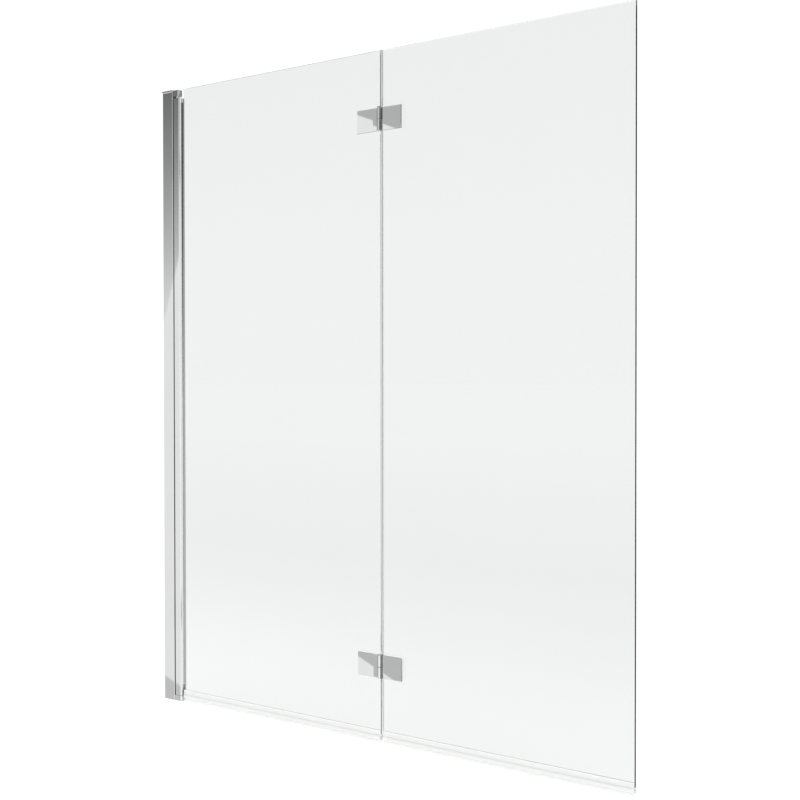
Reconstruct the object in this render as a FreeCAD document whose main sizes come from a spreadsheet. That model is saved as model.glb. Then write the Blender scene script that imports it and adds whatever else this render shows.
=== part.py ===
import FreeCAD, Part
import math
import os
import Sketcher

# A two-panel folding bath screen. All lengths are in millimetres.
# X runs from the wall along the glass to the free edge, Y across the glass (the room is on the
# -Y side) and Z up. The origin lies on the wall face, in the middle plane of the glass, at the
# level of the bath rim.

doc = FreeCAD.newDocument("BathScreen")
sheet = doc.addObject("Spreadsheet::Sheet", "Sizes")
vector = FreeCAD.Vector


# ---------------------------------------------------------------- driving dimensions
class Size:
    """A length with its number and the spreadsheet expression that it stands for."""

    def __init__(self, value, text):
        self.value = float(value)
        self.text = text

    def __add__(self, other):
        other = as_size(other)
        return Size(self.value + other.value, f"({self.text} + {other.text})")

    def __sub__(self, other):
        other = as_size(other)
        return Size(self.value - other.value, f"({self.text} - {other.text})")

    def __mul__(self, factor):
        return Size(self.value * factor, f"({self.text} * {factor})")

    def __truediv__(self, divisor):
        return Size(self.value / divisor, f"({self.text} / {divisor})")

    def __neg__(self):
        return Size(-self.value, f"(0 - {self.text})")


def as_size(value):
    return value if isinstance(value, Size) else Size(value, str(value))


sheet_rows = []


def size(alias, value, meaning):
    """Write one driving dimension to its own row of the sheet."""
    row = len(sheet_rows) + 1
    sheet.set(f"A{row}", meaning)
    sheet.set(f"B{row}", str(value))
    sheet.setAlias(f"B{row}", alias)
    sheet_rows.append(alias)
    return Size(value, f"Sizes.{alias}")


screen_width = size("ScreenWidth", 1200, "wall face to free edge")
screen_height = size("ScreenHeight", 1400, "bath rim to top of the glass")
glass_thickness = size("GlassThickness", 6, "toughened glass")
glass_lift = size("GlassLift", 17.3, "bath rim to lower edge of the glass")
glass_arris = size("GlassArris", 0.4, "polished arris round each pane")

profile_depth = size("ProfileDepth", 19, "depth of channel, pivot profile and blocks")
channel_width = size("ChannelWidth", 32, "wall face to mouth of the channel")
channel_flange = size("ChannelFlange", 1.5, "flange wall of the channel")
channel_web = size("ChannelWeb", 1.8, "web against the wall")
channel_edge = size("ChannelEdge", 1.0, "rounding at the mouth of the channel")
rib_height = size("RibHeight", 0.6, "ribs that the strip clips behind")
rib_length = size("RibLength", 1.2, "crest of the ribs")
wall_hole_radius = size("WallHoleRadius", 2.6, "wall screw holes in the web")
wall_hole_first = size("WallHoleFirst", 100, "bath rim to first wall screw hole")
wall_hole_pitch = size("WallHolePitch", 400, "between wall screw holes")

lid_thickness = size("LidThickness", 4.6, "lid on the channel")
lid_overhang = size("LidOverhang", 2.2, "lid stands proud of the channel")
lid_skirt = size("LidSkirt", 1.7, "slanted underside of the lid's long edges")
lid_plug = size("LidPlug", 3.8, "plug under the lid")
lid_edge = size("LidEdge", 0.5, "chamfer round the lid")

strip_thickness = size("StripThickness", 1.2, "strip in the mouth of the channel")
strip_setback = size("StripSetback", 3.0, "mouth of the channel to the strip's face")
strip_leg = size("StripLeg", 5.0, "legs of the strip")

block_reach_top = size("BlockReachTop", 50.8, "wall face to end of the top block")
block_reach_bottom = size("BlockReachBottom", 54.5, "wall face to end of the bottom block")
block_height_top = size("BlockHeightTop", 15.5, "top of the screen to underside of the top block")
block_height_bottom = size("BlockHeightBottom", 12.2, "bottom block")
block_drop = size("BlockDrop", 1.2, "top of the screen to top of the top block")
block_corner_top = size("BlockCornerTop", 2, "vertical corners of the top block")
block_corner = size("BlockCorner", 3, "vertical corners of bottom block and pivot profile")
tongue_reach = size("TongueReach", 22, "wall face to end of the tongue")
tongue_length = size("TongueLength", 46, "tongue inside the channel")
tongue_screw_first = size("TongueScrewFirst", 22, "end of the screen to first tongue screw")
tongue_screw_pitch = size("TongueScrewPitch", 14, "between tongue screws")
tongue_screw_reach = size("TongueScrewReach", 13, "wall face to tongue screws")
tongue_screw_radius = size("TongueScrewRadius", 2, "tongue screw shank")
pan_head_radius = size("PanHeadRadius", 3.9, "pan head of a tongue screw")
pan_head_height = size("PanHeadHeight", 1.8, "pan head of a tongue screw")
drive_radius = size("DriveRadius", 1.3, "hexagon socket of a tongue screw, across corners")
drive_depth = size("DriveDepth", 1.0, "hexagon socket of a tongue screw")

swing_axis = size("SwingAxis", 42.5, "wall face to the swing axis")
swing_gap = size("SwingGap", 3, "mouth of the channel to the pivot profile")
pivot_end = size("PivotEnd", 54.5, "wall face to end of the pivot profile")
pivot_wall = size("PivotWall", 1.6, "walls of the pivot profile")
pivot_inner_corner = size("PivotInnerCorner", 1.5, "profile corners beside the channel")
pivot_back_corner = size("PivotBackCorner", 1, "profile corner behind the glass")
pivot_slot_half = size("PivotSlotHalf", 4, "middle plane to a side of the glazing slot")
pivot_slot_back = size("PivotSlotBack", 48.2, "wall face to back of the glazing slot")
pivot_gap_top = size("PivotGapTop", 4.4, "top block to pivot profile")
pivot_gap_bottom = size("PivotGapBottom", 0.6, "bottom block to pivot profile")
glass_slot_gap = size("GlassSlotGap", 0.6, "back of the slot to the glass")
glass_notch = size("GlassNotch", 57.3, "wall face to the glass beside the top block")
glass_notch_lift = size("GlassNotchLift", 1, "pivot profile to floor of the notch in the glass")

pin_radius = size("PinRadius", 3, "swing pins")
pin_root = size("PinRoot", 3, "end of the screen to root of a swing pin")
pin_reach = size("PinReach", 13, "swing pin inside the pivot profile")
pin_chamfer = size("PinChamfer", 0.5, "ends of the pins")
bush_wall = size("BushWall", 1.05, "sleeve of a swing bush")
bush_length = size("BushLength", 16, "sleeve of a swing bush")
bush_collar = size("BushCollar", 5.4, "collar radius of a swing bush")
boss_wall = size("BossWall", 1.4, "tube round the bush bore")
running_gap = size("RunningGap", 0.05, "radial clearance of pins in bushes")
seat_gap = size("SeatGap", 0.3, "between pieces that turn past each other")
slip_gap = size("SlipGap", 0.1, "between pieces that slide together when fitted")

gasket_end = size("GasketEnd", 54.9, "wall face to end of the glazing gaskets")
gasket_tip = size("GasketTip", 0.4, "thickness of a gasket at its end")
gasket_lift = size("GasketLift", 20, "lower edge of the glass to start of the gaskets")

seal_wall = size("SealWall", 0.9, "legs of the bottom seal")
seal_floor = size("SealFloor", 1.2, "floor of the bottom seal")
seal_leg = size("SealLeg", 8.4, "glass edge to top of the seal's legs")
seal_bulb_radius = size("SealBulbRadius", 5.3, "bulb under the glass")
seal_bulb_wall = size("SealBulbWall", 0.8, "wall of the bulb")
seal_bulb_low = size("SealBulbLow", 5.8, "bath rim to underside of the bulb")
seal_lip_tip = size("SealLipTip", 0.8, "bath rim to tip of the drip lip")
seal_lip_lean = size("SealLipLean", 3.6, "drip lip leans to the room side")
seal_end_gap = size("SealEndGap", 0.5, "seal end back from the glass edge")
seal_start = size("SealStart", 57.4, "wall face to start of the inner bottom seal")

fold_line = size("FoldLine", 635, "wall face to the fold line")
joint_gap = size("JointGap", 5, "between the two panes")
joint_base = size("JointBase", 1.2, "base of the joint seal")
joint_wall = size("JointWall", 0.6, "hollow wall of the joint seal")
joint_clear = size("JointClear", 0.3, "joint seal to the inner pane")
joint_half = size("JointHalf", 2.7, "half width of the joint seal")

hinge_height = size("HingeHeight", 47, "hinge leaves")
hinge_inset = size("HingeInset", 140, "edge of the glass to middle of a hinge")
leaf_thickness = size("LeafThickness", 4, "hinge leaves")
leaf_gasket = size("LeafGasket", 1, "gasket between leaf and glass")
leaf_reach_inner = size("LeafReachInner", 58.9, "fold line to far edge of an inner leaf")
leaf_reach_outer = size("LeafReachOuter", 52.8, "fold line to far edge of an outer leaf")
leaf_root_inner = size("LeafRootInner", 6.2, "fold line to near edge of an inner leaf")
leaf_root_outer = size("LeafRootOuter", 6.4, "fold line to near edge of an outer leaf")
leaf_edge = size("LeafEdge", 0.5, "chamfer round the front of a leaf")
facet_start = size("FacetStart", 17.8, "fold line to start of the inner leaf's facet")
facet_fall = size("FacetFall", 0.2, "fall of the inner leaf's facet towards the knuckle")
fold_offset = size("FoldOffset", 8.8, "middle plane to the fold axis")
knuckle_radius = size("KnuckleRadius", 5.5, "hinge knuckles")
knuckle_gap = size("KnuckleGap", 1.2, "between the two knuckles of a hinge")
hinge_pin_radius = size("HingePinRadius", 2.5, "hinge pins")
hinge_bush_wall = size("HingeBushWall", 0.95, "sleeve in the upper knuckle")
hinge_head_radius = size("HingeHeadRadius", 4.9, "head of a hinge pin")
hinge_head_height = size("HingeHeadHeight", 1.5, "head of a hinge pin")
washer_thickness = size("WasherThickness", 0.8, "washer between the knuckles")
washer_radius = size("WasherRadius", 5.1, "washer between the knuckles")

fixing_reach = size("FixingReach", 33, "fold line to the leaf screws")
fixing_pitch = size("FixingPitch", 24, "between the two screws of a leaf")
glass_hole_radius = size("GlassHoleRadius", 6, "holes in the glass")
collar_radius = size("CollarRadius", 5.8, "gasket collar in a glass hole")
collar_bore = size("CollarBore", 2.8, "bore of a gasket collar")
disc_radius = size("DiscRadius", 10, "back discs")
disc_thickness = size("DiscThickness", 3.2, "back discs")
disc_edge = size("DiscEdge", 0.8, "chamfer of a back disc")
disc_washer = size("DiscWasher", 0.5, "washer under a back disc")
disc_washer_inset = size("DiscWasherInset", 0.5, "washer back from the disc's edge")
screw_radius = size("ScrewRadius", 2.5, "leaf screws")
screw_head_radius = size("ScrewHeadRadius", 4.4, "head of a leaf screw")
screw_head_height = size("ScrewHeadHeight", 2.4, "head of a leaf screw")
screw_bite = size("ScrewBite", 2.8, "leaf screw inside the leaf")
screw_bore = size("ScrewBore", 2.6, "tapped hole in the leaf and bore of the disc")
screw_drive = size("ScrewDrive", 1.9, "hexagon socket of a leaf screw, across corners")
screw_drive_depth = size("ScrewDriveDepth", 1.4, "hexagon socket of a leaf screw")
doc.recompute()

half_depth = profile_depth / 2
half_glass = glass_thickness / 2
channel_inside = half_depth - channel_flange
tongue_half = channel_inside - rib_height - slip_gap
channel_top = screen_height - lid_thickness
bush_bore = pin_radius + running_gap
bush_outside = bush_bore + bush_wall
pivot_bottom = block_height_bottom + pivot_gap_bottom
pivot_top = screen_height - block_height_top - pivot_gap_top
glass_height = screen_height - glass_lift
glass_start = pivot_slot_back + glass_slot_gap
leaf_back = half_glass + leaf_gasket
leaf_front = leaf_back + leaf_thickness
hinge_bush_bore = hinge_pin_radius + running_gap
hinge_bush_outside = hinge_bush_bore + hinge_bush_wall
lower_knuckle = (hinge_height - knuckle_gap) / 2
upper_knuckle_start = (hinge_height + knuckle_gap) / 2
hinge_bases = {
    "upper": screen_height - hinge_inset - hinge_height / 2,
    "lower": glass_lift + hinge_inset - hinge_height / 2,
}
origin = as_size(0)
node_names = []
wall_hole_count = 4
hexagon_flat = math.sqrt(3) / 2


# ---------------------------------------------------------------- drawing helpers
def place(item, x=origin, y=origin, z=origin, rotation=None):
    """Bind an object's place to the sheet."""
    base = vector(x.value, y.value, z.value)
    item.Placement = FreeCAD.Placement(base, rotation or FreeCAD.Rotation())
    item.setExpression(".Placement.Base.x", x.text)
    item.setExpression(".Placement.Base.y", y.text)
    item.setExpression(".Placement.Base.z", z.text)


def new_body(name, x=origin, y=origin, z=origin, rotation=None, keep=True):
    body = doc.addObject("PartDesign::Body", name)
    body.Label = name
    place(body, x, y, z, rotation)
    if keep:
        node_names.append(name)
    return body


def new_sketch(body, plane, offset=origin):
    """A sketch on one of the body's own origin planes, shifted along the plane's normal."""
    sketch = body.newObject("Sketcher::SketchObject", body.Name + "_sketch")
    support = [item for item in body.Origin.OriginFeatures if item.Role == plane][0]
    sketch.AttachmentSupport = [(support, "")]
    sketch.MapMode = "FlatFace"
    sketch.setExpression("AttachmentOffset.Base.z", offset.text)
    return sketch


def pin_point(sketch, geometry, end, x, y):
    """Hold one point of the sketch at a distance from the origin that the sheet gives."""
    for kind, length in (("DistanceX", x), ("DistanceY", y)):
        index = sketch.addConstraint(Sketcher.Constraint(kind, -1, 1, geometry, end, length.value))
        if "Sizes" in length.text:
            sketch.setExpression(f"Constraints[{index}]", length.text)


def draw_outline(sketch, points):
    """A closed outline of straight edges through the points."""
    corners = [(as_size(x), as_size(y)) for x, y in points]
    first = sketch.GeometryCount
    following = corners[1:] + corners[:1]
    for (x, y), (next_x, next_y) in zip(corners, following):
        line = Part.LineSegment(vector(x.value, y.value, 0), vector(next_x.value, next_y.value, 0))
        sketch.addGeometry(line, False)
    count = len(corners)
    for index, (x, y) in enumerate(corners):
        here = first + index
        after = first + (index + 1) % count
        sketch.addConstraint(Sketcher.Constraint("Coincident", here, 2, after, 1))
        pin_point(sketch, here, 1, x, y)


def draw_box(sketch, low_x, high_x, low_y, high_y):
    draw_outline(sketch, [(low_x, low_y), (high_x, low_y), (high_x, high_y), (low_x, high_y)])


def draw_circle(sketch, x, y, radius):
    x, y = as_size(x), as_size(y)
    centre = vector(x.value, y.value, 0)
    circle = sketch.addGeometry(Part.Circle(centre, vector(0, 0, 1), radius.value), False)
    pin_point(sketch, circle, 3, x, y)
    index = sketch.addConstraint(Sketcher.Constraint("Radius", circle, radius.value))
    sketch.setExpression(f"Constraints[{index}]", radius.text)


def draw_hexagon(sketch, x, y, corner_radius):
    """A hexagon socket, corners on a circle of the given radius."""
    half = corner_radius / 2
    flat = corner_radius * hexagon_flat
    points = [(corner_radius, origin), (half, flat), (-half, flat)]
    points += [(-corner_radius, origin), (-half, -flat), (half, -flat)]
    draw_outline(sketch, [(as_size(x) + dx, as_size(y) + dy) for dx, dy in points])


def pad(body, sketch, length, both_sides=False, backwards=False):
    feature = body.newObject("PartDesign::Pad", body.Name + "_pad")
    feature.Profile = sketch
    feature.setExpression("Length", length.text)
    feature.Reversed = backwards
    if both_sides:
        feature.SideType = "Symmetric"
    return feature


def cut(body, sketch, length, both_sides=False, backwards=False):
    """Take the sketch out of the body. The cut runs against the plane's normal unless backwards."""
    feature = body.newObject("PartDesign::Pocket", body.Name + "_cut")
    feature.Profile = sketch
    feature.setExpression("Length", length.text)
    feature.Reversed = backwards
    if both_sides:
        feature.SideType = "Symmetric"
    return feature


def edges_where(shape, test):
    """Names of the edges whose ends all pass the test."""
    names = []
    for number, edge in enumerate(shape.Edges, 1):
        ends = [vertex.Point for vertex in edge.Vertexes]
        if all(test(point) for point in ends):
            names.append(f"Edge{number}")
    return names


def upright(shape, test):
    """Names of the vertical straight edges that pass the test."""
    names = []
    for number, edge in enumerate(shape.Edges, 1):
        if len(edge.Vertexes) != 2:
            continue
        start, end = edge.Vertexes[0].Point, edge.Vertexes[1].Point
        vertical = abs(start.x - end.x) < 1e-6 and abs(start.y - end.y) < 1e-6
        if vertical and test(start):
            names.append(f"Edge{number}")
    return names


def round_edges(body, names, radius):
    before = body.Tip
    feature = body.newObject("PartDesign::Fillet", body.Name + "_rounding")
    feature.Base = (before, names)
    feature.setExpression("Radius", radius.text)
    body.Tip = feature
    doc.recompute()


def bevel_edges(body, names, width):
    before = body.Tip
    feature = body.newObject("PartDesign::Chamfer", body.Name + "_chamfer")
    feature.Base = (before, names)
    feature.setExpression("Size", width.text)
    body.Tip = feature
    doc.recompute()


def near(value, length):
    return abs(value - length.value) < 1e-4


# ---------------------------------------------------------------- wall side
def make_wall_profile():
    """U channel that is screwed to the wall, open towards the glass."""
    body = new_body("wall_profile")
    sketch = new_sketch(body, "XY_Plane")
    draw_box(sketch, origin, channel_width, -half_depth, half_depth)
    pad(body, sketch, channel_top)
    doc.recompute()
    tips = upright(body.Tip.Shape, lambda point: near(point.x, channel_width))
    round_edges(body, tips, channel_edge)
    inside = new_sketch(body, "XY_Plane")
    past_mouth = channel_width + channel_edge
    rib_start = channel_width - strip_setback - strip_thickness - strip_leg
    rib_end = rib_start - rib_length
    crest = channel_inside - rib_height
    draw_outline(inside, [
        (channel_web, -channel_inside), (rib_end - rib_height, -channel_inside), (rib_end, -crest),
        (rib_start, -crest), (rib_start, -channel_inside), (past_mouth, -channel_inside),
        (past_mouth, channel_inside), (rib_start, channel_inside), (rib_start, crest),
        (rib_end, crest), (rib_end - rib_height, channel_inside), (channel_web, channel_inside),
    ])
    cut(body, inside, channel_top, backwards=True)
    hole = new_sketch(body, "YZ_Plane")
    draw_circle(hole, origin, wall_hole_first, wall_hole_radius)
    wall_hole = cut(body, hole, channel_web, backwards=True)
    doc.recompute()
    row = body.newObject("PartDesign::LinearPattern", "wall_hole_row")
    row.Originals = [wall_hole]
    row.Direction = (hole, ["V_Axis"])
    row.setExpression("Length", (wall_hole_pitch * (wall_hole_count - 1)).text)
    row.Occurrences = wall_hole_count
    body.Tip = row
    screw_holes = new_sketch(body, "XZ_Plane")
    for height in tongue_screw_heights():
        draw_circle(screw_holes, tongue_screw_reach, height, tongue_screw_radius + slip_gap)
    cut(body, screw_holes, profile_depth)


def tongue_screw_heights():
    """Heights of the four screws that clamp the two tongues."""
    first = tongue_screw_first
    second = tongue_screw_first + tongue_screw_pitch
    return [first, second, screen_height - second, screen_height - first]


def make_lid():
    """Lid that closes the top of the channel, with a plug inside it."""
    body = new_body("wall_profile_lid", z=channel_top)
    side = half_depth + lid_overhang
    shoulder = lid_thickness - lid_edge
    section = new_sketch(body, "YZ_Plane")
    draw_outline(section, [
        (-side + lid_skirt, origin), (side - lid_skirt, origin), (side, lid_skirt), (side, shoulder),
        (side - lid_edge, lid_thickness), (-side + lid_edge, lid_thickness), (-side, shoulder),
        (-side, lid_skirt),
    ])
    pad(body, section, channel_width)
    doc.recompute()
    end = edges_where(body.Tip.Shape, lambda point: near(point.x, channel_width))
    bevel_edges(body, end, lid_edge)
    plug = new_sketch(body, "XY_Plane")
    draw_box(plug, channel_web + slip_gap, tongue_reach, -tongue_half, tongue_half)
    pad(body, plug, lid_plug, backwards=True)


def make_channel_strip():
    """PVC strip that closes the mouth of the channel between the two blocks."""
    low = block_height_bottom + slip_gap
    high = screen_height - block_height_top - slip_gap
    body = new_body("channel_strip", z=low)
    sketch = new_sketch(body, "XY_Plane")
    face = channel_width - strip_setback
    back = face - strip_thickness
    legs = back - strip_leg + slip_gap
    side = channel_inside - slip_gap
    inner = side - strip_thickness
    draw_outline(sketch, [
        (face, -side), (face, side), (legs, side), (legs, inner),
        (back, inner), (back, -inner), (legs, -inner), (legs, -side),
    ])
    pad(body, sketch, high - low)


def make_block(name, reach, height, corner, drop, under_lid, z, rotation=None):
    """Cast pivot block with its tongue inside the channel, drawn with the screen's end at z = 0."""
    body = new_body(name, z=z, rotation=rotation)
    outline = new_sketch(body, "XY_Plane", offset=drop)
    start = channel_width + slip_gap
    draw_box(outline, start, reach, -half_depth, half_depth)
    pad(body, outline, height - drop)
    doc.recompute()
    corners = upright(body.Tip.Shape, lambda point: near(point.x, reach))
    round_edges(body, corners, corner)
    rim = edges_where(body.Tip.Shape, lambda point: near(point.z, drop))
    bevel_edges(body, rim, leaf_edge)
    tongue = new_sketch(body, "XZ_Plane")
    root = channel_web + slip_gap
    inside = start + block_corner
    draw_outline(tongue, [
        (root, under_lid), (inside, under_lid), (inside, height - slip_gap),
        (tongue_reach, height - slip_gap), (tongue_reach, tongue_length), (root, tongue_length),
    ])
    pad(body, tongue, tongue_half * 2, both_sides=True)
    bore = new_sketch(body, "XY_Plane", offset=height)
    draw_circle(bore, swing_axis, origin, pin_radius)
    cut(body, bore, height - pin_root)
    taps = new_sketch(body, "XZ_Plane")
    for reach_up in (tongue_screw_first, tongue_screw_first + tongue_screw_pitch):
        draw_circle(taps, tongue_screw_reach, reach_up, tongue_screw_radius + running_gap)
    cut(body, taps, profile_depth, both_sides=True)


def turned_pin(name, radius, length, x, y, z, rotation=None):
    """Plain pin with chamfered ends."""
    body = new_body(name, x=x, y=y, z=z, rotation=rotation)
    sketch = new_sketch(body, "XY_Plane")
    draw_circle(sketch, origin, origin, radius)
    pad(body, sketch, length)
    doc.recompute()
    every = [f"Edge{number}" for number, edge in enumerate(body.Tip.Shape.Edges, 1) if edge.Closed]
    bevel_edges(body, every, pin_chamfer)
    return body


def make_bush(name, collar_height, x, z, rotation=None):
    """Acetal bush: a collar outside the pivot profile and a sleeve inside its bore."""
    body = new_body(name, x=x, z=z, rotation=rotation)
    collar = new_sketch(body, "XY_Plane")
    draw_circle(collar, origin, origin, bush_collar)
    pad(body, collar, collar_height)
    sleeve = new_sketch(body, "XY_Plane")
    draw_circle(sleeve, origin, origin, bush_outside)
    pad(body, sleeve, collar_height + bush_length)
    bore = new_sketch(body, "XY_Plane")
    draw_circle(bore, origin, origin, bush_bore)
    cut(body, bore, collar_height + bush_length, backwards=True)


def make_group(name, master, places):
    """One node with a separate copy of the master piece at each place."""
    doc.recompute()
    copies = []
    for x, y, z, rotation in places:
        copy = master.Shape.copy()
        copy.Placement = FreeCAD.Placement(vector(x.value, y.value, z.value), rotation)
        copies.append(copy)
    group = doc.addObject("Part::Feature", name)
    group.Label = name
    group.Shape = Part.makeCompound(copies)
    node_names.append(name)


def make_headed_screw(name, head_radius, head_height, shank_radius, shank_length, drive, depth):
    """Screw along -Z, its head above z = 0, with a hexagon socket."""
    body = new_body(name, keep=False)
    shank = new_sketch(body, "XY_Plane")
    draw_circle(shank, origin, origin, shank_radius)
    pad(body, shank, shank_length, backwards=True)
    head = new_sketch(body, "XY_Plane")
    draw_circle(head, origin, origin, head_radius)
    pad(body, head, head_height)
    socket = new_sketch(body, "XY_Plane", offset=head_height)
    draw_hexagon(socket, origin, origin, drive)
    cut(body, socket, depth)
    return body


# ---------------------------------------------------------------- inner panel
def make_pivot_profile():
    """Extruded profile: a hollow box round the swing axis, with a slot for the glass in its end."""
    body = new_body("pivot_profile", z=pivot_bottom)
    length = pivot_top - pivot_bottom
    start = channel_width + swing_gap
    slot = pivot_slot_half
    outline = new_sketch(body, "XY_Plane")
    draw_outline(outline, [
        (start, -half_depth), (pivot_end, -half_depth), (pivot_end, -slot), (pivot_slot_back, -slot),
        (pivot_slot_back, slot), (pivot_end, slot), (pivot_end, half_depth), (start, half_depth),
    ])
    pad(body, outline, length)
    doc.recompute()
    inner = upright(body.Tip.Shape, lambda point: near(point.x, start))
    round_edges(body, inner, pivot_inner_corner)
    for corner_y, radius in ((-half_depth, block_corner), (half_depth, pivot_back_corner)):
        corner = upright(
            body.Tip.Shape,
            lambda point: near(point.x, pivot_end) and near(point.y, corner_y),
        )
        round_edges(body, corner, radius)
    chamber = new_sketch(body, "XY_Plane")
    high = half_depth - pivot_wall
    low = slot + pivot_wall
    far = pivot_end - pivot_wall
    behind_slot = pivot_slot_back - pivot_wall
    draw_outline(chamber, [
        (start + pivot_wall, -high), (far, -high), (far, -low), (behind_slot, -low),
        (behind_slot, low), (far, low), (far, high), (start + pivot_wall, high),
    ])
    cut(body, chamber, length, backwards=True)
    boss = new_sketch(body, "XY_Plane")
    draw_circle(boss, swing_axis, origin, bush_outside + boss_wall)
    pad(body, boss, length)
    rib = new_sketch(body, "XY_Plane")
    rib_half = boss_wall / 2
    rib_end = half_depth - rib_half
    draw_box(rib, swing_axis - rib_half, swing_axis + rib_half, -rib_end, rib_end)
    pad(body, rib, length)
    bore = new_sketch(body, "XY_Plane")
    draw_circle(bore, swing_axis, origin, bush_outside)
    cut(body, bore, length, backwards=True)


def make_glazing_gasket(name, side):
    """Strip between the glass and a side of the slot, with a tapered tip outside the slot."""
    start = glass_lift + gasket_lift
    body = new_body(name, z=start)
    low = glass_start
    sketch = new_sketch(body, "XY_Plane")
    draw_outline(sketch, [
        (low, half_glass * side), (gasket_end, half_glass * side),
        (gasket_end, (half_glass + gasket_tip) * side),
        (pivot_end, pivot_slot_half * side), (low, pivot_slot_half * side),
    ])
    pad(body, sketch, pivot_top - start)


def make_glass(name, low_x, high_x, holes_x, notch_x=None):
    """Pane with polished arrises, four holes for the hinges and, if asked, a notch at the top."""
    body = new_body(name, z=glass_lift)
    sketch = new_sketch(body, "XY_Plane")
    draw_box(sketch, low_x, high_x, -half_glass, half_glass)
    pad(body, sketch, glass_height)
    doc.recompute()
    bevel_edges(body, edges_where(body.Tip.Shape, lambda point: True), glass_arris)
    holes = new_sketch(body, "XZ_Plane")
    for base in hinge_bases.values():
        middle = base + hinge_height / 2 - glass_lift
        for shift in (-fixing_pitch / 2, fixing_pitch / 2):
            draw_circle(holes, holes_x, middle + shift, glass_hole_radius)
    cut(body, holes, glass_thickness * 2, both_sides=True)
    if notch_x:
        notch = new_sketch(body, "XZ_Plane")
        floor = pivot_top + glass_notch_lift - glass_lift
        draw_box(notch, low_x - glass_slot_gap, notch_x, floor, glass_height + glass_arris)
        cut(body, notch, glass_thickness * 2, both_sides=True)


def make_bottom_seal(name, low_x, high_x):
    """Clear seal pushed on the lower edge: two legs, a hollow bulb and a drip lip."""
    body = new_body(name, x=low_x)
    length = high_x - low_x
    inner = half_glass + running_gap
    outer = inner + seal_wall
    top = glass_lift + seal_leg
    under = glass_lift - seal_floor
    clip = new_sketch(body, "YZ_Plane")
    draw_outline(clip, [
        (-outer, under), (outer, under), (outer, top), (inner, top), (inner, glass_lift),
        (-inner, glass_lift), (-inner, top), (-outer, top),
    ])
    pad(body, clip, length)
    bulb = new_sketch(body, "YZ_Plane")
    bulb_middle = seal_bulb_low + seal_bulb_radius
    draw_circle(bulb, origin, bulb_middle, seal_bulb_radius)
    draw_circle(bulb, origin, bulb_middle, seal_bulb_radius - seal_bulb_wall)
    pad(body, bulb, length)
    lip = new_sketch(body, "YZ_Plane")
    root = seal_bulb_low + seal_bulb_wall / 2
    draw_outline(lip, [
        (-seal_wall, root), (origin, root), (-seal_lip_lean + seal_wall / 2, seal_lip_tip),
        (-seal_lip_lean - seal_wall / 2, seal_lip_tip),
    ])
    pad(body, lip, length)


# ---------------------------------------------------------------- hinges
def make_inner_leaf(where, base):
    """Leaf on the inner pane, with the lower knuckle and a shallow facet beside it."""
    body = new_body(f"{where}_leaf_inner", x=fold_line, z=base)
    plate = new_sketch(body, "XY_Plane")
    draw_outline(plate, [
        (-leaf_reach_inner, -leaf_front), (-facet_start, -leaf_front),
        (-leaf_root_inner, -leaf_front + facet_fall), (-leaf_root_inner, -leaf_back),
        (-leaf_reach_inner, -leaf_back),
    ])
    pad(body, plate, hinge_height)
    bevel_leaf(body, facet_fall, [-facet_start, -leaf_root_inner])
    bridge = new_sketch(body, "XY_Plane")
    draw_box(bridge, -leaf_root_inner - leaf_edge, origin, -fold_offset, -leaf_back)
    pad(body, bridge, lower_knuckle)
    finish_leaf(body, origin, lower_knuckle, hinge_pin_radius, -fixing_reach)


def make_outer_leaf(where, base):
    """Leaf on the outer pane, with the upper knuckle."""
    body = new_body(f"{where}_leaf_outer", x=fold_line, z=base)
    plate = new_sketch(body, "XY_Plane")
    draw_box(plate, leaf_root_outer, leaf_reach_outer, -leaf_front, -leaf_back)
    pad(body, plate, hinge_height)
    bevel_leaf(body, origin, [leaf_root_outer])
    bridge = new_sketch(body, "XY_Plane", offset=upper_knuckle_start)
    draw_box(bridge, origin, leaf_root_outer + leaf_edge, -leaf_front + leaf_edge, -leaf_back)
    pad(body, bridge, lower_knuckle)
    finish_leaf(body, upper_knuckle_start, lower_knuckle, hinge_bush_outside, fixing_reach)


def bevel_leaf(body, fall, plain_places):
    """Chamfer round the front of a plate, leaving the upright edges at the plain places as they are."""
    doc.recompute()
    shape = body.Tip.Shape
    front = edges_where(shape, lambda point: point.y < (-leaf_front + fall).value + 1e-4)
    plain = upright(shape, lambda point: any(near(point.x, place) for place in plain_places))
    bevel_edges(body, [name for name in front if name not in plain], leaf_edge)


def finish_leaf(body, knuckle_start, knuckle_length, bore_radius, screws_x):
    """Knuckle with its bore, and two tapped blind holes in the back of the plate."""
    knuckle = new_sketch(body, "XY_Plane", offset=knuckle_start)
    draw_circle(knuckle, origin, -fold_offset, knuckle_radius)
    pad(body, knuckle, knuckle_length)
    bore = new_sketch(body, "XY_Plane", offset=knuckle_start)
    draw_circle(bore, origin, -fold_offset, bore_radius)
    cut(body, bore, knuckle_length, backwards=True)
    taps = new_sketch(body, "XZ_Plane", offset=leaf_back)
    for shift in (-fixing_pitch / 2, fixing_pitch / 2):
        draw_circle(taps, screws_x, hinge_height / 2 + shift, screw_bore)
    cut(body, taps, screw_bite + slip_gap, backwards=True)


def make_leaf_gasket(name, base, low_x, high_x, screws_x):
    """Clear gasket under a leaf, with collars that line the holes in the glass."""
    body = new_body(name, x=fold_line, z=base)
    sheet_sketch = new_sketch(body, "XY_Plane")
    draw_box(sheet_sketch, low_x, high_x, -leaf_back, -half_glass)
    pad(body, sheet_sketch, hinge_height)
    collars = new_sketch(body, "XZ_Plane", offset=half_glass)
    bores = new_sketch(body, "XZ_Plane", offset=leaf_back)
    for shift in (-fixing_pitch / 2, fixing_pitch / 2):
        height = hinge_height / 2 + shift
        draw_circle(collars, screws_x, height, collar_radius)
        draw_circle(bores, screws_x, height, collar_bore)
    pad(body, collars, glass_thickness, backwards=True)
    cut(body, bores, leaf_gasket + glass_thickness)


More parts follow.
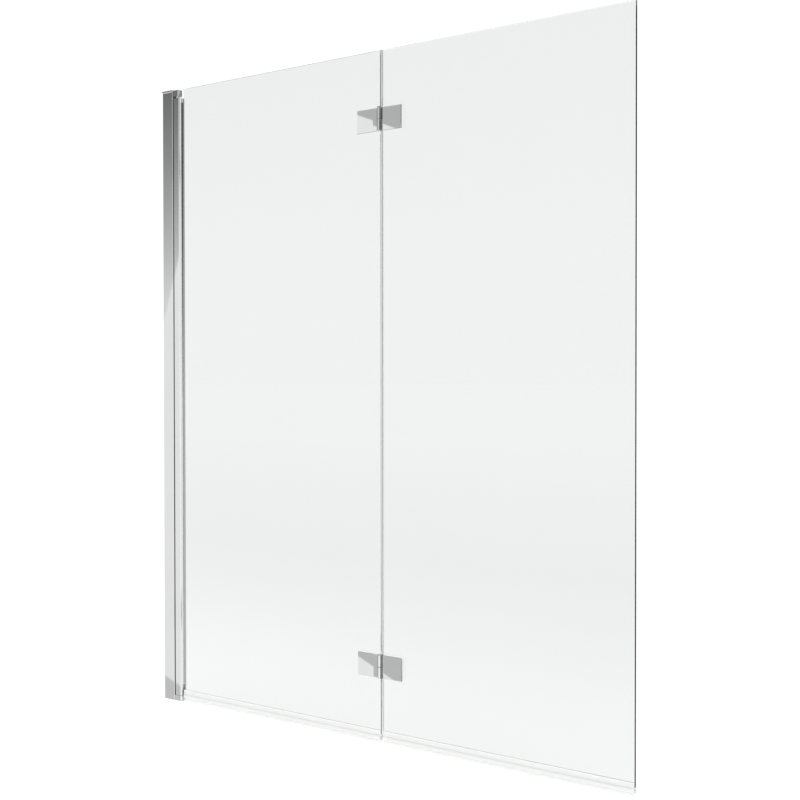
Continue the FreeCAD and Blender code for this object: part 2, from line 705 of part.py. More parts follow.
def make_hinge_pin(where, base):
    """Pin through both knuckles, with a flat head over the upper one."""
    body = turned_pin(f"hinge_pin_{where}", hinge_pin_radius, hinge_height + seat_gap,
                      fold_line, -fold_offset, base)
    head = new_sketch(body, "XY_Plane", offset=hinge_height + seat_gap)
    draw_circle(head, origin, origin, hinge_head_radius)
    pad(body, head, hinge_head_height)


def make_ring(name, outside, inside, height, x, y, z, rotation=None, keep=True):
    """Plain ring or sleeve."""
    body = new_body(name, x=x, y=y, z=z, rotation=rotation, keep=keep)
    sketch = new_sketch(body, "XY_Plane")
    draw_circle(sketch, origin, origin, outside)
    draw_circle(sketch, origin, origin, inside)
    pad(body, sketch, height)
    return body


def make_disc():
    """Back disc with a recess for the screw head, drawn with its seat at z = 0."""
    body = new_body("back_disc", keep=False)
    sketch = new_sketch(body, "XY_Plane")
    draw_circle(sketch, origin, origin, disc_radius)
    pad(body, sketch, disc_thickness)
    doc.recompute()
    top = [f"Edge{number}" for number, edge in enumerate(body.Tip.Shape.Edges, 1)
           if edge.Closed and near(edge.Vertexes[0].Z, disc_thickness)]
    bevel_edges(body, top, disc_edge)
    bore = new_sketch(body, "XY_Plane")
    draw_circle(bore, origin, origin, screw_bore)
    cut(body, bore, disc_thickness, backwards=True)
    recess = new_sketch(body, "XY_Plane", offset=disc_thickness)
    draw_circle(recess, origin, origin, screw_head_radius + slip_gap)
    cut(body, recess, screw_head_height)
    return body


def fixing_places(screws_x, distance):
    """Places of the four fixings of a panel on the hidden side, turned to point away from the glass."""
    towards_bath = FreeCAD.Rotation(vector(1, 0, 0), -90)
    places = []
    for base in hinge_bases.values():
        middle = base + hinge_height / 2
        for shift in (-fixing_pitch / 2, fixing_pitch / 2):
            places.append((screws_x, distance, middle + shift, towards_bath))
    return places


def make_joint_seal():
    """Hollow seal on the edge of the outer pane that fills the gap between the panes."""
    body = new_body("joint_seal", x=fold_line, z=glass_lift)
    edge = joint_gap / 2
    tip = -edge + joint_clear
    base = edge - joint_base
    shoulder = joint_half / 2
    inner_half = joint_half - joint_wall
    outline = new_sketch(body, "XY_Plane")
    draw_outline(outline, [
        (edge, -joint_half), (edge, joint_half), (base - joint_wall, joint_half), (tip, shoulder),
        (tip, -shoulder), (base - joint_wall, -joint_half),
    ])
    pad(body, outline, glass_height)
    hollow = new_sketch(body, "XY_Plane")
    draw_outline(hollow, [
        (base, -inner_half), (base, inner_half), (base - joint_wall, inner_half),
        (tip + joint_wall, shoulder - joint_wall / 2), (tip + joint_wall, -shoulder + joint_wall / 2),
        (base - joint_wall, -inner_half),
    ])
    cut(body, hollow, glass_height, backwards=True)


# ---------------------------------------------------------------- assembly
upside_down = FreeCAD.Rotation(vector(1, 0, 0), 180)

make_wall_profile()
make_lid()
make_channel_strip()
make_block("pivot_block_bottom", block_reach_bottom, block_height_bottom, block_corner,
           origin, origin, origin)
make_block("pivot_block_top", block_reach_top, block_height_top, block_corner_top,
           block_drop, lid_thickness + lid_plug + slip_gap, screen_height, upside_down)
turned_pin("pivot_pin_bottom", pin_radius, pivot_bottom + pin_reach - pin_root,
           swing_axis, origin, pin_root)
turned_pin("pivot_pin_top", pin_radius, screen_height - pivot_top + pin_reach - pin_root,
           swing_axis, origin, screen_height - pin_root, upside_down)
clamp_screw = make_headed_screw("clamp_screw", pan_head_radius, pan_head_height, tongue_screw_radius,
                                channel_flange + half_depth, drive_radius, drive_depth)
outwards = FreeCAD.Rotation(vector(1, 0, 0), -90)
make_group("block_screws", clamp_screw,
            [(tongue_screw_reach, half_depth, height, outwards) for height in tongue_screw_heights()])

make_pivot_profile()
make_bush("pivot_bush_bottom", pivot_gap_bottom - slip_gap, swing_axis, block_height_bottom + slip_gap)
make_bush("pivot_bush_top", pivot_gap_top - seat_gap, swing_axis,
          screen_height - block_height_top - seat_gap, upside_down)
make_glazing_gasket("glazing_gasket_front", -1)
make_glazing_gasket("glazing_gasket_back", 1)

inner_end = fold_line - joint_gap / 2
outer_start = fold_line + joint_gap / 2
make_glass("glass_inner", glass_start, inner_end, fold_line - fixing_reach, glass_notch)
make_glass("glass_outer", outer_start, screen_width, fold_line + fixing_reach)
make_bottom_seal("bottom_seal_inner", seal_start, inner_end - seal_end_gap)
make_bottom_seal("bottom_seal_outer", outer_start + seal_end_gap, screen_width)
make_joint_seal()

for where, base in hinge_bases.items():
    make_inner_leaf(where, base)
    make_outer_leaf(where, base)
    make_leaf_gasket(f"{where}_gasket_inner", base, -leaf_reach_inner, -leaf_root_inner, -fixing_reach)
    make_leaf_gasket(f"{where}_gasket_outer", base, leaf_root_outer, leaf_reach_outer, fixing_reach)
    make_hinge_pin(where, base)
    make_ring(f"hinge_washer_{where}", washer_radius, hinge_bush_bore, washer_thickness,
              fold_line, -fold_offset, base + lower_knuckle)
    make_ring(f"hinge_bush_{where}", hinge_bush_outside, hinge_bush_bore, lower_knuckle,
              fold_line, -fold_offset, base + upper_knuckle_start)

back_disc = make_disc()
disc_washer_master = make_ring("disc_washer", disc_radius - disc_washer_inset, collar_bore, disc_washer,
                               origin, origin, origin, keep=False)
disc_seat = half_glass + disc_washer
head_seat = disc_seat + disc_thickness - screw_head_height
leaf_screw = make_headed_screw("leaf_screw", screw_head_radius, screw_head_height, screw_radius,
                               head_seat + leaf_back + screw_bite, screw_drive, screw_drive_depth)
for panel, screws_x in (("inner", fold_line - fixing_reach), ("outer", fold_line + fixing_reach)):
    make_group(f"back_discs_{panel}", back_disc, fixing_places(screws_x, disc_seat))
    make_group(f"disc_washers_{panel}", disc_washer_master, fixing_places(screws_x, half_glass))
    make_group(f"leaf_screws_{panel}", leaf_screw, fixing_places(screws_x, head_seat))


# ---------------------------------------------------------------- checks and export
doc.recompute()
for item in doc.Objects:
    if "Invalid" in item.State or "Error" in item.State:
        raise RuntimeError(f"{item.Label} failed: {item.State}")
os.makedirs("parts", exist_ok=True)
pieces = {item.Label: item for item in doc.Objects if item.Label in node_names}
for name in node_names:
    shape = pieces[name].Shape
    if shape.isNull() or not shape.isValid() or not shape.Solids:
        raise RuntimeError(f"{name} has no valid solid")
for name in node_names:
    shape = pieces[name].Shape
    box = shape.BoundBox
    shape.exportStep(f"parts/{name}.step")
    print(f"{name}: {len(shape.Solids)} solid(s), {shape.Volume / 1000:.2f} cm3, "
          f"x {box.XMin:.1f}..{box.XMax:.1f}, y {box.YMin:.1f}..{box.YMax:.1f}, "
          f"z {box.ZMin:.1f}..{box.ZMax:.1f}")
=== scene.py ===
# %% [markdown]
# # A folding bath screen in Blender
# Two panes of toughened glass stand on the rim of a bath. A bright channel is screwed to the wall,
# a second profile swings beside it on two pins, and two pairs of hinge leaves let the outer pane
# fold back on the inner one. The solids come from the CAD model and keep their places. This lesson
# gives each of them its finish and then lights the whole screen as in a bright room. It follows one
# reference picture, and the shades in it were set by comparing renders with that picture.
# The first cell loads the solids.

# %% Load the frame
import bpy
import math
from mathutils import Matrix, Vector

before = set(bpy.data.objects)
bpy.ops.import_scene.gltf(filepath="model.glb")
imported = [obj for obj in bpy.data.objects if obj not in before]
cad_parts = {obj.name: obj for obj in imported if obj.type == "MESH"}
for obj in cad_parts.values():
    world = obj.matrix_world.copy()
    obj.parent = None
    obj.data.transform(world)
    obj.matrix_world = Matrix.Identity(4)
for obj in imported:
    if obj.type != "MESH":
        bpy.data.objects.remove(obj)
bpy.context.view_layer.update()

# %% [markdown]
# The loader leaves the CAD solids selected, and an operator acts on all that is selected. So the
# selection is emptied here and again before each new thing is added.

# %% Empty the selection
def select_none():
    """Leave edit mode and deselect every object."""
    if bpy.context.object and bpy.context.object.mode != "OBJECT":
        bpy.ops.object.mode_set(mode="OBJECT")
    bpy.ops.object.select_all(action="DESELECT")


select_none()

# %% [markdown]
# Some finishes change at a certain place of the screen. The places that they need are named here, in
# metres from the wall face of the channel and from the rim of the bath, as in the CAD model.

# %% Places on the screen
screen_height = 1.4
glass_lift = 0.0173
seal_leg = 0.0084
glass_notch = 0.0573
notch_floor = 1.37
print("drip seal ends", round(glass_lift + seal_leg, 4), "m above the rim of the bath")

# %% [markdown]
# ## Shader maths
# Shader maths reads best as ordinary expressions. A Value holds one socket, and adding, multiplying
# or dividing Values places a Math node between them. The reflected forms let a plain number stand
# on the left, as in 1 - mask.

# %% Sockets in expressions
class Value:
    """A socket that can stand in an expression."""

    def __init__(self, recipe, socket):
        self.recipe = recipe
        self.socket = socket

    def math(self, operation, first, second=None):
        inputs = {0: first} if second is None else {0: first, 1: second}
        return self.recipe.add("ShaderNodeMath", {"operation": operation}, inputs)

    def __add__(self, other):
        return self.math("ADD", self, other)

    def __radd__(self, other):
        return self.math("ADD", other, self)

    def __sub__(self, other):
        return self.math("SUBTRACT", self, other)

    def __rsub__(self, other):
        return self.math("SUBTRACT", other, self)

    def __mul__(self, other):
        return self.math("MULTIPLY", self, other)

    def __rmul__(self, other):
        return self.math("MULTIPLY", other, self)

    def __truediv__(self, other):
        return self.math("DIVIDE", self, other)

    def smallest(self, other):
        return self.math("MINIMUM", self, other)

    def largest(self, other):
        return self.math("MAXIMUM", self, other)


print("sockets can be added, subtracted, multiplied and divided")

# %% [markdown]
# A Recipe is the node tree of one material or of the world. Its add method makes every other kind
# of node: the settings come first, such as the stops of a colour ramp, and then the numbers or links
# of its inputs. The smaller methods are the ones that several finishes share.

# %% Recipes for materials
class Recipe:
    """The node tree of one material or of the world."""

    def __init__(self, owner):
        owner.use_nodes = True
        self.tree = owner.node_tree
        self.tree.nodes.clear()

    def add(self, kind, settings=None, inputs=None, output=0):
        node = self.tree.nodes.new(kind)
        for name, setting in (settings or {}).items():
            if name == "stops":
                self.set_stops(node.color_ramp, setting)
            else:
                setattr(node, name, setting)
        for name, content in (inputs or {}).items():
            if isinstance(content, Value):
                self.tree.links.new(content.socket, node.inputs[name])
            else:
                node.inputs[name].default_value = content
        return Value(self, node.outputs[output]) if node.outputs else None

    def set_stops(self, ramp, stops):
        while len(ramp.elements) > 1:
            ramp.elements.remove(ramp.elements[-1])
        for index, (place, shade) in enumerate(stops):
            element = ramp.elements[0] if index == 0 else ramp.elements.new(place)
            element.position = place
            element.color = (shade, shade, shade, 1)

    def ramp(self, factor, stops):
        """A grey that follows the factor through the stops."""
        return self.add("ShaderNodeValToRGB", {"stops": stops}, {0: factor})

    def place(self, scale=(1, 1, 1), shift=(0, 0, 0)):
        """Object coordinates, scaled and shifted, for a pattern that stays on its piece."""
        coordinates = self.add("ShaderNodeTexCoord", output="Object")
        return self.add("ShaderNodeMapping", {}, {"Vector": coordinates, "Scale": scale, "Location": shift})

    def part_of(self, vector, axis):
        """One of the three numbers of a vector."""
        return self.add("ShaderNodeSeparateXYZ", {}, {0: vector}, output="XYZ".index(axis))

    def noise(self, scale, detail=3.0, stretch=(1, 1, 1)):
        return self.add("ShaderNodeTexNoise", {}, {"Vector": self.place(stretch), "Scale": scale, "Detail": detail})

    def bump(self, height, strength, distance):
        return self.add("ShaderNodeBump", {}, {"Strength": strength, "Distance": distance, "Height": height})

    def tint(self, factor, first, second):
        """A colour between first and second."""
        return self.add("ShaderNodeMix", {"data_type": "RGBA"}, {0: factor, 6: first, 7: second}, output=2)

    def finish(self, surface, volume=None):
        links = {"Surface": surface}
        if volume:
            links["Volume"] = volume
        self.add("ShaderNodeOutputMaterial", {}, links)


def new_finish(name):
    material = bpy.data.materials.new(name)
    return material, Recipe(material)


def soft_step(distance, width):
    """0 on one side of an edge and 1 on the other, with a soft change of the given width."""
    return (distance / width + 0.5).largest(0).smallest(1)


def between(place, low, high, width):
    """1 from low to high and 0 outside, with soft edges of the given width."""
    return soft_step(place - low, width) * soft_step(high - place, width)


print("recipes ready")

# %% [markdown]
# ## Bright metal
# The channel and the swinging profile are aluminium extrusions, polished and then chromed. A drawn
# bar keeps faint lines along its length, so the noise is stretched along Z until it turns into
# streaks. They are hardly seen by themselves, but they break up the reflections as on the real one.

# %% Chromed extrusion
chrome_extrusion, recipe = new_finish("chrome_extrusion")
streaks = recipe.noise(900, 4, (1, 1, 0.004))
clouds = recipe.noise(9, 2)
metal = recipe.add("ShaderNodeBsdfPrincipled", {}, {
    "Base Color": recipe.tint(clouds, (0.795, 0.80, 0.80, 1), (0.83, 0.835, 0.835, 1)),
    "Metallic": 1.0,
    "Roughness": 0.02 + 0.02 * streaks,
    "Normal": recipe.bump(streaks, 0.02, 0.00002),
})
recipe.finish(metal)
print("finish", chrome_extrusion.name)

# %% [markdown]
# The lid, the two pivot blocks and the back discs are cast, then polished by hand and chromed. Hand
# polishing leaves a very slow wave in the surface, which a large soft noise gives, and a finer one
# stands for the smudges that fingers leave. The hinge leaves are made in the same way. Their ends
# mirror the white backdrop and came out lighter than in the reference picture, so the leaves get a
# variant with ends shaded down. The normal in the piece's own coordinates tells the ends from the
# fronts, and it turns with the piece.

# %% Chromed casting
def cast_chrome(name, end_shade):
    """Polished and chromed casting, with painted shade on its ends across X, down to end_shade."""
    material, recipe = new_finish(name)
    wave = recipe.noise(60, 1)
    smudge = recipe.noise(180, 4)
    facing = recipe.part_of(recipe.add("ShaderNodeTexCoord", output="Normal"), "X")
    ends = soft_step(facing.math("ABSOLUTE", facing) - 0.85, 0.2)
    plain = ((0.80, 0.805, 0.805), (0.83, 0.835, 0.835))
    polished = recipe.tint(wave, *[(*colour, 1) for colour in plain])
    # The darker ends are painted shade: their base colour is scaled down by end_shade.
    painted_shade_ends = recipe.tint(wave, *[(*(part * end_shade for part in colour), 1) for colour in plain])
    recipe.finish(recipe.add("ShaderNodeBsdfPrincipled", {}, {
        "Base Color": recipe.tint(ends, polished, painted_shade_ends),
        "Metallic": 1.0,
        "Roughness": 0.012 + 0.02 * smudge,
        "Normal": recipe.bump(wave, 0.03, 0.00005),
    }))
    print("finish", material.name)
    return material


chrome_casting = cast_chrome("chrome_casting", 1.0)
leaf_chrome = cast_chrome("leaf_chrome", 0.62)

# %% [markdown]
# Pins and screws are stainless steel straight from the lathe, duller and darker than the chrome.
# Fine rings run round each one. The noise is stretched along Y, because the screws point that way.

# %% Turned stainless steel
stainless_steel, recipe = new_finish("stainless_steel")
rings = recipe.noise(1500, 3, (1, 0.05, 1))
metal = recipe.add("ShaderNodeBsdfPrincipled", {}, {
    "Base Color": recipe.tint(rings, (0.52, 0.52, 0.51, 1), (0.64, 0.64, 0.63, 1)),
    "Metallic": 1.0,
    "Roughness": 0.18 + 0.16 * rings,
    "Normal": recipe.bump(rings, 0.1, 0.00003),
})
recipe.finish(metal)
print("finish", stainless_steel.name)

# %% [markdown]
# ## Plastics
# The pivot bushes and hinge bushes are turned from white acetal, which is dense and waxy and never
# quite pure white. Short turning marks run round them, so this noise is squeezed along Z. The thin
# washers between the knuckles get the same plastic in dark grey, because a white ring there would
# stand out and the reference picture shows none.

# %% Acetal
def turned_acetal(name, dark, light):
    """Waxy turned plastic between two shades."""
    material, recipe = new_finish(name)
    turning = recipe.noise(700, 3, (1, 1, 6))
    recipe.finish(recipe.add("ShaderNodeBsdfPrincipled", {}, {
        "Base Color": recipe.tint(turning, dark, light),
        "Roughness": 0.32 + 0.12 * turning,
        "Specular IOR Level": 0.5,
        "Normal": recipe.bump(turning, 0.1, 0.00003),
    }))
    print("finish", material.name)
    return material


white_acetal = turned_acetal("white_acetal", (0.80, 0.80, 0.78, 1), (0.88, 0.88, 0.86, 1))
dark_acetal = turned_acetal("dark_acetal", (0.10, 0.10, 0.10, 1), (0.15, 0.15, 0.15, 1))

# %% [markdown]
# The strip that closes the mouth of the channel is dark grey PVC with a fine matt skin. The skin
# comes from the extrusion die, so its grain runs along the strip.

# %% Grey PVC
grey_pvc, recipe = new_finish("grey_pvc")
skin = recipe.noise(1200, 4, (1, 1, 0.05))
plastic = recipe.add("ShaderNodeBsdfPrincipled", {}, {
    "Base Color": recipe.tint(skin, (0.16, 0.165, 0.165, 1), (0.21, 0.215, 0.215, 1)),
    "Roughness": 0.42 + 0.15 * skin,
    "Normal": recipe.bump(skin, 0.15, 0.00004),
})
recipe.finish(plastic)
print("finish", grey_pvc.name)

# %% [markdown]
# The glazing strips are wedged between the glass and the slot of the profile. In the reference
# picture they fade from a pale grey at the bath to nearly black at the top, and the picture does not
# tell why. Here a ramp over the height of the screen paints that fade, and a little of it glows.

# %% Glazing strip
glazing_pvc, recipe = new_finish("glazing_pvc")
skin = recipe.noise(1500, 4, (1, 1, 0.05))
along_strip = recipe.part_of(recipe.place(), "Z") / screen_height
# The fade is painted shade, darker towards the top, and the emission is painted light.
shade = recipe.ramp(along_strip, [(0.0, 0.92), (0.35, 0.88), (0.50, 0.82), (0.60, 0.60), (0.82, 0.17), (1.0, 0.08)])
plastic = recipe.add("ShaderNodeBsdfPrincipled", {}, {
    "Base Color": recipe.tint(skin * 0.2, shade, (0.42, 0.425, 0.425, 1)),
    "Emission Color": shade * 0.15,
    "Emission Strength": 1.0,
    "Roughness": 0.28 + 0.12 * skin,
    "Normal": recipe.bump(skin, 0.12, 0.00003),
})
recipe.finish(plastic)
print("finish", glazing_pvc.name)

# %% [markdown]
# The seals under the glass and the gaskets under the leaves are clear PVC. It is softer than glass
# to look at: slightly milky, because it scatters part of the light, with faint lines from the die.
# So only a part of it transmits, and the rest shows a pale colour of its own. Seen through the
# glass, the gaskets came out black and the upper line of the seals too dark. So the PVC also glows:
# a little in the seals, and more from just under their legs' upper ends upwards.

# %% Clear PVC
clear_pvc, recipe = new_finish("clear_pvc")
die_lines = recipe.noise(1800, 3, (0.02, 1, 0.02))
under_leg_ends = glass_lift + seal_leg - 0.0006
painted_light_above = soft_step(recipe.part_of(recipe.place(), "Z") - under_leg_ends, 0.0004)
plastic = recipe.add("ShaderNodeBsdfPrincipled", {}, {
    "Base Color": recipe.tint(die_lines, (0.955, 0.96, 0.955, 1), (0.985, 0.99, 0.985, 1)),
    "Roughness": 0.10 + 0.08 * die_lines,
    "IOR": 1.20,
    "Transmission Weight": 0.30,
    # The emission is painted light, faint in the seals and stronger above under_leg_ends.
    "Emission Color": recipe.tint(painted_light_above, (0.03, 0.03, 0.03, 1), (0.26, 0.26, 0.26, 1)),
    "Emission Strength": 1.0,
    "Normal": recipe.bump(die_lines, 0.05, 0.00002),
})
recipe.finish(plastic)
print("finish", clear_pvc.name)

# %% [markdown]
# The seal in the fold between the panes is PVC too. The reference picture shows two fine lines
# between the panes. The second line is painted shade: the foot of the seal against the outer pane
# is painted darker than the pale and milky middle, and the start and the shade of the foot change
# with the height. A soft step across the seal parts them. The middle came out too dark by itself
# and is given a little glow, which is painted light.

# %% Fold seal
fold_pvc, recipe = new_finish("fold_pvc")
die_lines = recipe.noise(1800, 3, (1, 1, 0.02))
across_seal = recipe.part_of(recipe.place(), "X")
up_seal = recipe.part_of(recipe.place(), "Z") / screen_height
foot_start = 0.6360 - 0.0008 * up_seal
foot_end = 0.63738
# The foot is painted shade and the emission of the middle is painted light.
shaded_foot = soft_step(across_seal - foot_start, 0.0004) * soft_step(foot_end - across_seal, 0.0002)
foot_shade = recipe.ramp(up_seal, [(0.0, 0.28), (0.17, 0.18), (0.5, 0.18), (1.0, 0.12)])
middle = recipe.tint(die_lines, (0.80, 0.805, 0.80, 1), (0.86, 0.865, 0.86, 1))
plastic = recipe.add("ShaderNodeBsdfPrincipled", {}, {
    "Base Color": recipe.tint(shaded_foot, middle, foot_shade),
    "Roughness": 0.25 + 0.1 * die_lines,
    "IOR": 1.30,
    "Transmission Weight": 0.10,
    "Emission Color": recipe.tint(shaded_foot, (0.30, 0.30, 0.30, 1), (0.0, 0.0, 0.0, 1)),
    "Emission Strength": 1.0,
    "Normal": recipe.bump(die_lines, 0.05, 0.00002),
})
recipe.finish(plastic)
print("finish", fold_pvc.name)

# %% [markdown]
# ## Toughened glass
# Clear float glass looks white from the front and green along its edges, because light that runs
# inside the pane crosses a lot of it. An absorption volume gives that by itself. Toughening rolls a
# very slow wave into the surface. The glass also mirrors the bright reflector below, so its colour
# is kept under white to balance that, with the faintest cloud in it. Two edges came out too dark
# and glow a little: the upper edge, which is also white, and the edge of the notch that the inner
# pane has beside the top block.

# %% Clear glass
clear_glass, recipe = new_finish("clear_glass")
cloud = recipe.noise(5, 3)
roll = recipe.noise(3, 1, (1, 1, 2))
balanced = recipe.tint(cloud, (0.812, 0.827, 0.821, 1), (0.819, 0.834, 0.827, 1))
on_pane = recipe.place()
from_wall = recipe.part_of(on_pane, "X")
above_rim = recipe.part_of(on_pane, "Z")
# Both edges carry painted light: the upper edge is painted white and glows, and the notch edge glows.
upper_edge = soft_step(above_rim - (screen_height - 0.0012), 0.0006)
notch_edge = soft_step(glass_notch + 0.0004 - from_wall, 0.0003) * soft_step(above_rim - notch_floor, 0.001)
pane = recipe.add("ShaderNodeBsdfPrincipled", {}, {
    "Base Color": recipe.tint(upper_edge, balanced, (1.0, 1.0, 1.0, 1)),
    "Roughness": 0.0,
    "IOR": 1.52,
    "Transmission Weight": 1.0,
    "Emission Color": 0.28 * notch_edge + 0.10 * upper_edge,
    "Emission Strength": 1.0,
    "Normal": recipe.bump(roll, 0.02, 0.0005),
})
body_tint = recipe.add("ShaderNodeVolumeAbsorption", {}, {"Color": (0.35, 0.75, 0.62, 1), "Density": 3.0})
recipe.finish(pane, body_tint)
print("finish", clear_glass.name)

# %% [markdown]
# ## Finishes on the CAD solids
# Each solid came with the name of its material slot from the record. The slots are filled with the
# finishes above by that name. The fold seal, the hinge leaves and the washers between their knuckles
# get the variants made for them. Nothing on the solids themselves changes.

# %% Fill the slots
finishes = {
    "chrome_extrusion": chrome_extrusion, "chrome_casting": chrome_casting,
    "stainless_steel": stainless_steel, "white_acetal": white_acetal, "grey_pvc": grey_pvc,
    "glazing_pvc": glazing_pvc, "clear_pvc": clear_pvc, "clear_glass": clear_glass,
}
own_finish = {"joint_seal": fold_pvc}
for where in ("upper", "lower"):
    own_finish["hinge_washer_" + where] = dark_acetal
    own_finish[where + "_leaf_inner"] = own_finish[where + "_leaf_outer"] = leaf_chrome
for name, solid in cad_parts.items():
    for slot in solid.material_slots:
        given = slot.material.name.split(".")[0]
        slot.material = own_finish.get(name, finishes[given])
        print(name, "has", slot.material.name)

# %% [markdown]
# ## Camera
# The camera stands in the bathroom, well to the right of the screen and half way up it, and looks
# back at the wall. Place, direction and lens were worked out from the straight edges of the screen.

# %% Camera
eye = Vector((2.24979, -2.05633, 0.73506))
turn, dip, tilt, lens = 37.3717, 0.8576, 0.0545, 58.26
aim = (math.radians(90 - dip), math.radians(tilt), math.radians(turn))
bpy.ops.object.camera_add(location=eye, rotation=aim)
camera = bpy.context.object
camera.name = "camera_in_the_bathroom"
camera.data.lens = lens
camera.data.sensor_width = 36
bpy.context.scene.camera = camera
print("camera at", [round(c, 3) for c in eye], "lens", lens, "mm")

# %% [markdown]
# ## Floor
# The screen stands on a plain pale floor that runs out to the horizon. Near the screen it is lit by
# its own glow as well, like a light table, so that it stays white and shows no hard shadow. The glow
# falls off with the distance from the glass, which shows as the faint shades low in the panes.
# Chrome reflects the studio cards instead of the floor, so the floor is hidden from glossy rays.

# %% Floor
select_none()
bpy.ops.mesh.primitive_plane_add(size=400, location=(0.6, 0, -0.0006))
floor = bpy.context.object
floor.name = "studio_floor"
floor_paint, recipe = new_finish("studio_floor_paint")
mottle = recipe.noise(2, 2)
beside = recipe.part_of(recipe.place(), "Y")
lit_from_below = recipe.ramp(beside.math("ABSOLUTE", beside) / 10, [
    (0.0, 0.92), (0.032, 0.90), (0.061, 0.87), (0.098, 0.83), (0.145, 0.80), (0.211, 0.78), (0.305, 0.785),
    (0.46, 0.795), (0.74, 0.81), (1.0, 0.82),
])
paint = recipe.add("ShaderNodeBsdfPrincipled", {}, {
    "Base Color": recipe.tint(mottle, (0.235, 0.235, 0.235, 1), (0.245, 0.245, 0.245, 1)),
    "Roughness": 0.9,
    "Specular IOR Level": 0.0,
    "Emission Color": lit_from_below,
    "Emission Strength": 1.0,
})
recipe.finish(paint)
floor.data.materials.append(floor_paint)
floor.visible_glossy = False
print("floor laid", tuple(round(side) for side in floor.dimensions))

# %% [markdown]
# ## Studio cards
# Chrome has hardly any colour of its own: it shows what stands round it. A photographer places cards
# for that, out of the picture, and so does this lesson. Each card is a stage plane that only glossy
# rays see. The helper puts the four corners of a plane where they are wanted.

# %% A card
def hang_card(name, corners, finish):
    """A plane with the given corners that shows only in reflections."""
    select_none()
    bpy.ops.mesh.primitive_plane_add(size=1)
    card = bpy.context.object
    card.name = name
    for corner, wanted in zip(card.data.vertices, corners):
        corner.co = wanted
    card.data.materials.append(finish)
    for sight in ("camera", "diffuse", "transmission", "shadow", "volume_scatter"):
        setattr(card, "visible_" + sight, False)
    return card


print("cards show in reflections only")

# %% [markdown]
# The large reflector stands one metre in front of the screen, where the flat fronts of the profile,
# the leaves and the glass mirror it. A point of the reflector that shows at one place of the screen
# is found by scaling about the camera's mirror image, so the mapping below turns places on the
# reflector into places on the screen, and the pattern can be laid out in the screen's own metres.
# The card itself stays where it is, so its pattern is fitted to this one camera: seen from elsewhere
# it falls on other places of the screen.

# %% Places on the reflector
reach = 1.0
front_plane = -0.008
depth = front_plane - eye.y
spread = (reach + front_plane + depth) / depth
pattern_low, pattern_high = (-0.03, -0.03), (1.24, 1.46)
low_x, high_x = (eye.x + spread * (edge[0] - eye.x) for edge in (pattern_low, pattern_high))
low_z, high_z = (eye.z + spread * (edge[1] - eye.z) for edge in (pattern_low, pattern_high))
reflector_glow, recipe = new_finish("studio_reflector_glow")
seen = recipe.place((1 / spread, 1, 1 / spread), (eye.x * (1 - 1 / spread), 0, eye.z * (1 - 1 / spread)))
across = recipe.part_of(seen, "X")
up = recipe.part_of(seen, "Z")
print("reflector from", round(low_x, 3), round(low_z, 3), "to", round(high_x, 3), round(high_z, 3))

# %% [markdown]
# In the reference picture the wide profile is light up to a slanting edge, darker and fading above
# it, and a little darker again at the foot. The names below, a white wall, an upper room and the
# edge of a bath, are guesses at what it mirrors. The soft step draws each slanting edge.

# %% What the profile shows
height = up / 1.45
upper_room = recipe.ramp(height, [
    (0.634, 0.757), (0.706, 0.588), (0.777, 0.443), (0.848, 0.327), (0.919, 0.234), (0.962, 0.19),
])
white_wall = soft_step(0.8723 + 2.78 * across - up, 0.012)
bath_edge = soft_step(0.0522 - 0.32 * across - up, 0.004)
profile_light = upper_room * (1 - white_wall) + 0.915 * white_wall * (1 - bath_edge) + 0.62 * bath_edge
on_profile = soft_step(0.060 - across, 0.001)
print("profile side of the reflector laid out")

# %% [markdown]
# The reflector has a window for each pair of hinge leaves, grey above and white below, and the line
# between the two slants across the leaves as in the reference picture. The rest of the reflector is
# a pale wall for the glass and the rounded edges of the profile, darker towards the ceiling.

# %% What leaves and glass show
in_upper = between(up, 1.2325, 1.287, 0.001)
in_lower = between(up, 0.1285, 0.1845, 0.001)
on_leaves = between(across, 0.573, 0.691, 0.001) * (in_upper + in_lower)
upper_pair = soft_step(up - 1.2, 0.001)
lit = soft_step(1.5006 - 0.3904 * across - up, 0.002) * upper_pair
lit = lit + soft_step(0.4034 - 0.4028 * across - up, 0.002) * (1 - upper_pair)
leaf_light = (0.56 - 0.045 * upper_pair) * (1 - lit) + 0.942 * lit
pale_wall = recipe.ramp(height, [(0.0, 1.0), (0.66, 1.0), (0.84, 0.74), (0.95, 0.55)])
shine = pale_wall * (1 - on_profile) * (1 - on_leaves) + profile_light * on_profile + leaf_light * on_leaves
recipe.finish(recipe.add("ShaderNodeEmission", {}, {"Color": shine, "Strength": 1.0}))
hang_card("studio_reflector", [
    (low_x, -reach, low_z), (high_x, -reach, low_z), (low_x, -reach, high_z), (high_x, -reach, high_z),
], reflector_glow)
print("reflector hung at y", -reach)

# %% [markdown]
# The round knuckles of the hinges would mirror the whole bright room. In the reference picture a
# dark line runs down their right side. Narrow cards of dark felt give it, each at the height that
# the camera finds in one pair of knuckles. The upper pair has a second card in front.

# %% Dark felt cards
def felt_between(name, low, high):
    """Dark felt that grows a little lighter from the height low to the height high."""
    material, recipe = new_finish(name)
    nap = recipe.noise(300, 3)
    rise = (recipe.part_of(recipe.place(), "Z") - low) / (high - low)
    shade = recipe.ramp(rise, [(0.0, 0.19), (0.45, 0.20), (0.65, 0.33), (1.0, 0.34)])
    recipe.finish(recipe.add("ShaderNodeBsdfPrincipled", {}, {
        "Base Color": recipe.tint(nap * 0.1, shade, (0.02, 0.02, 0.02, 1)), "Roughness": 0.95,
        "Specular IOR Level": 0.0,
    }))
    return material


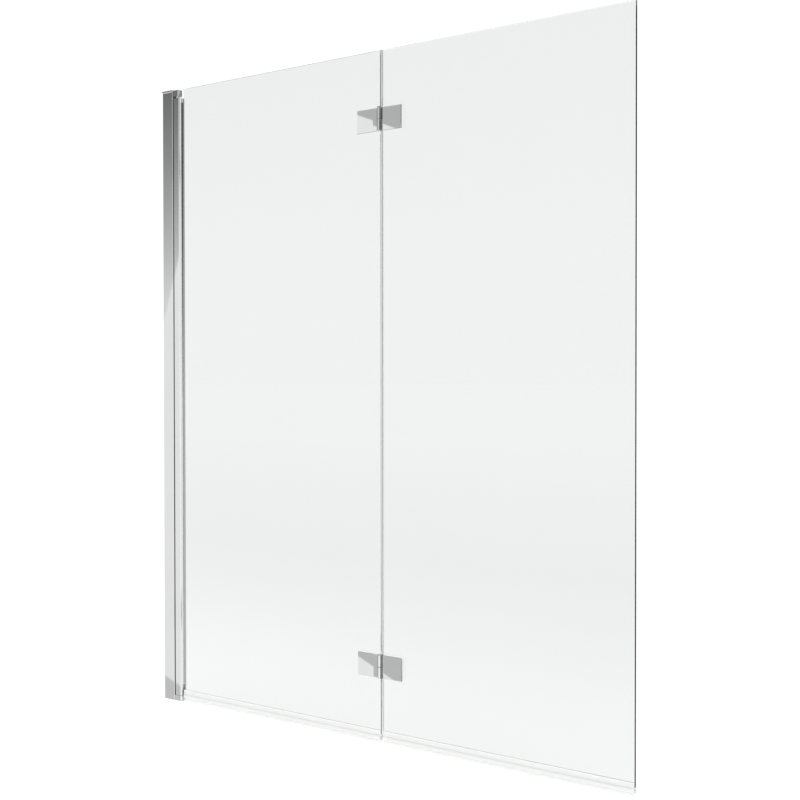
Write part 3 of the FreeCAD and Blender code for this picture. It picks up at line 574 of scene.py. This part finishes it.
felt_cards = {
    "upper": ((1.22, -0.80, 1.415), (1.22, -0.014, 1.335), 0.09),
    "lower": ((1.22, -0.80, -0.115), (1.22, -0.014, -0.015), 0.10),
    "upper_front": ((0.80, -0.90, 1.395), (1.30, -0.90, 1.405), 0.125),
}
for where, (first, second, tall) in felt_cards.items():
    above = Vector((0, 0, tall))
    felt = felt_between("studio_felt_" + where, min(first[2], second[2]), max(first[2], second[2]) + tall)
    hang_card("studio_felt_" + where, [first, second, Vector(first) + above, Vector(second) + above], felt)
    print("felt card", where, "from", first, "to", second)

# %% [markdown]
# ## World
# Seen directly or through glass, the world is a plain white backdrop. In reflections it is a room:
# one ramp gives its brightness round about, by compass bearing, and another from the floor to the
# ceiling. In steep directions the bearing no longer counts.

# %% Room and backdrop
world = bpy.data.worlds.new("studio_light")
bpy.context.scene.world = world
recipe = Recipe(world)
direction = recipe.add("ShaderNodeTexCoord", output="Generated")
east, north, upward = (recipe.part_of(direction, axis) for axis in "XYZ")
bearing = east.math("ARCTAN2", east, 0 - north) / math.tau + 0.5
round_about = recipe.ramp(bearing, [
    (0.0, 0.80), (0.15, 0.80), (0.20, 0.22), (0.32, 0.25), (0.37, 0.75), (0.44, 1.0), (0.74, 1.0), (0.80, 0.52),
    (0.96, 0.52), (1.0, 0.80),
])
floor_to_ceiling = recipe.ramp(upward * 0.5 + 0.5, [
    (0.0, 0.25), (0.125, 0.25), (0.15, 0.65), (0.25, 0.65), (0.36, 1.0), (0.5, 1.0), (0.567, 0.72), (0.602, 0.50),
    (0.70, 0.45), (0.80, 0.32), (1.0, 0.32),
])
steep = soft_step(upward * upward - 0.2, 0.15)
room = (round_about * (1 - steep) + steep) * floor_to_ceiling
backdrop = recipe.ramp(upward.largest(0), [(0.0, 0.99), (0.10, 0.99), (0.13, 0.987), (0.20, 0.986), (1.0, 0.98)])
glossy = recipe.add("ShaderNodeLightPath", output="Is Glossy Ray")
through = recipe.add("ShaderNodeLightPath", output="Is Transmission Ray")
light = recipe.tint(glossy * (1 - through), backdrop, room)
background = recipe.add("ShaderNodeBackground", {}, {"Color": light, "Strength": 1.08})
recipe.add("ShaderNodeOutputWorld", {}, {"Surface": background})
bpy.context.scene.view_settings.view_transform = "Standard"
print("world", world.name)
